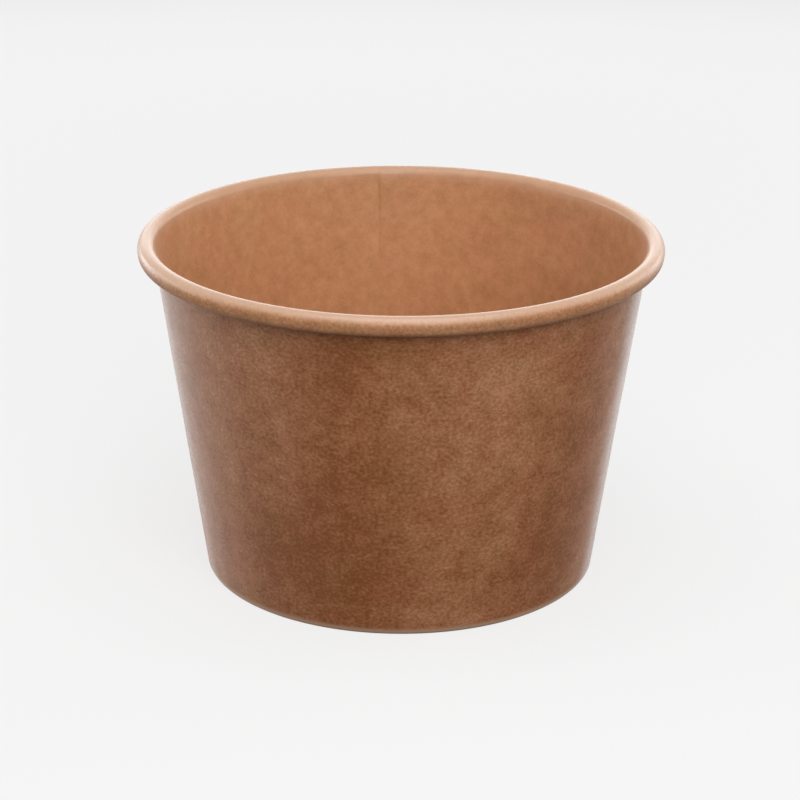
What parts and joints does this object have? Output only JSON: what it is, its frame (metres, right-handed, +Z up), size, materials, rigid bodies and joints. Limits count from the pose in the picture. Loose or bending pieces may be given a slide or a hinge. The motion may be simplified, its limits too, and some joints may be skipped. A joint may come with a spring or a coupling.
{
  "type": "paper ice cream tub",
  "caption": "Open round tub of kraft paperboard for ice cream, with a tapered lap-seamed wall, a rolled rim and a recessed base.",
  "frame": {"origin": "on the table under the middle of the tub, at the centre of the foot ring", "axes": "+Z up along the tub's axis towards the open mouth; +Y towards the side seam at the back; -Y is the side seen first"},
  "size_m": [0.095, 0.095, 0.0625],
  "materials": {
    "wall_board": "brown kraft board with visible fibres and a thin satin coating",
    "base_board": "brown kraft board with visible fibres and a thin satin coating"
  },
  "bodies": {
    "root": {"side_wall": "wall_board", "base_disc": "base_board"}
  },
  "joints": []
}
